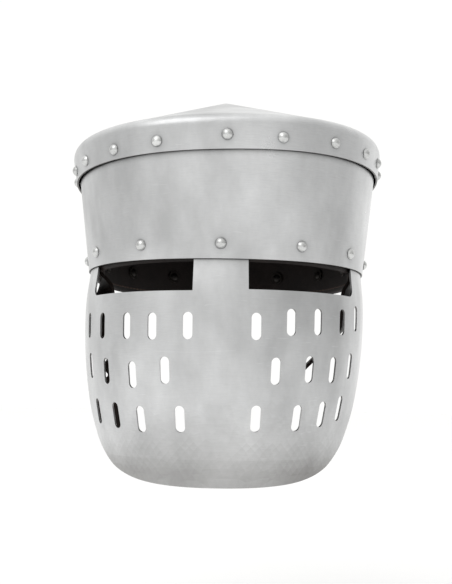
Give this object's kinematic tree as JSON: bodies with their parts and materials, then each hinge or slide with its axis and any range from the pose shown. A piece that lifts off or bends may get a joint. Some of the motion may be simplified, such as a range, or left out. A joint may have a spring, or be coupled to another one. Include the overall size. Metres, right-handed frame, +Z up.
{
  "type": "knight helmet",
  "caption": "Riveted steel face-plate helm: low conical top, rolled skull band, slotted visor plate fixed below the brow, leather liner and buckled chin strap.",
  "frame": {"origin": "middle of the head seat, level with the brow edge of the skull band", "axes": "+Z up, -Y to the front, where the face plate is, +X to the side on the viewer's right"},
  "size_m": [0.241, 0.2749, 0.2937],
  "materials": {
    "top_plate_steel": "satin mild steel, hand polished, faint cloudy patches",
    "skull_steel": "satin mild steel, brushed round the band",
    "face_plate_steel": "satin mild steel, hand polished",
    "rivet_steel": "domed rivet heads, polished",
    "washer_steel": "plain steel washers",
    "liner_leather": "very dark brown vegetable-tanned leather",
    "lace_leather": "round leather lace",
    "strap_leather": "dark brown strap leather, edges burnished",
    "buckle_brass": "aged brass"
  },
  "bodies": {
    "helmet": {"top_plate": "top_plate_steel", "skull_band": "skull_steel", "seam_strap": "skull_steel", "face_plate": "face_plate_steel", "rim_rivets": "rivet_steel", "brow_rivets": "rivet_steel", "seam_rivets": "rivet_steel", "liner_band": "liner_leather", "liner_tongues": "liner_leather", "liner_lace": "lace_leather", "liner_washers": "washer_steel", "left_pivot_rivet": "rivet_steel", "left_pivot_washer": "washer_steel", "right_pivot_rivet": "rivet_steel", "right_pivot_washer": "washer_steel"},
    "long_strap": {"long_strap": "strap_leather"},
    "buckle_strap": {"buckle_strap": "strap_leather", "keeper_loop": "strap_leather", "fold_rivet": "buckle_brass"},
    "buckle": {"buckle_frame": "buckle_brass"},
    "prong": {"buckle_prong": "buckle_brass"}
  },
  "joints": [
    {"name": "long_strap_swing", "type": "hinge", "parent": "helmet", "child": "long_strap", "pos_m": [-0.0969, -0.012, 0.01], "axis": [1, 0, 0], "range_deg": [-5, 25]},
    {"name": "buckle_strap_swing", "type": "hinge", "parent": "helmet", "child": "buckle_strap", "pos_m": [0.0969, -0.012, 0.01], "axis": [1, 0, 0], "range_deg": [-12, 40]},
    {"name": "buckle_turn", "type": "hinge", "parent": "buckle_strap", "child": "buckle", "pos_m": [0.0455, -0.012, -0.117], "axis": [0, 1, 0], "range_deg": [-30, 30]},
    {"name": "prong_turn", "type": "hinge", "parent": "buckle", "child": "prong", "pos_m": [0.0455, -0.012, -0.117], "axis": [0, 1, 0], "range_deg": [0, 70]}
  ]
}
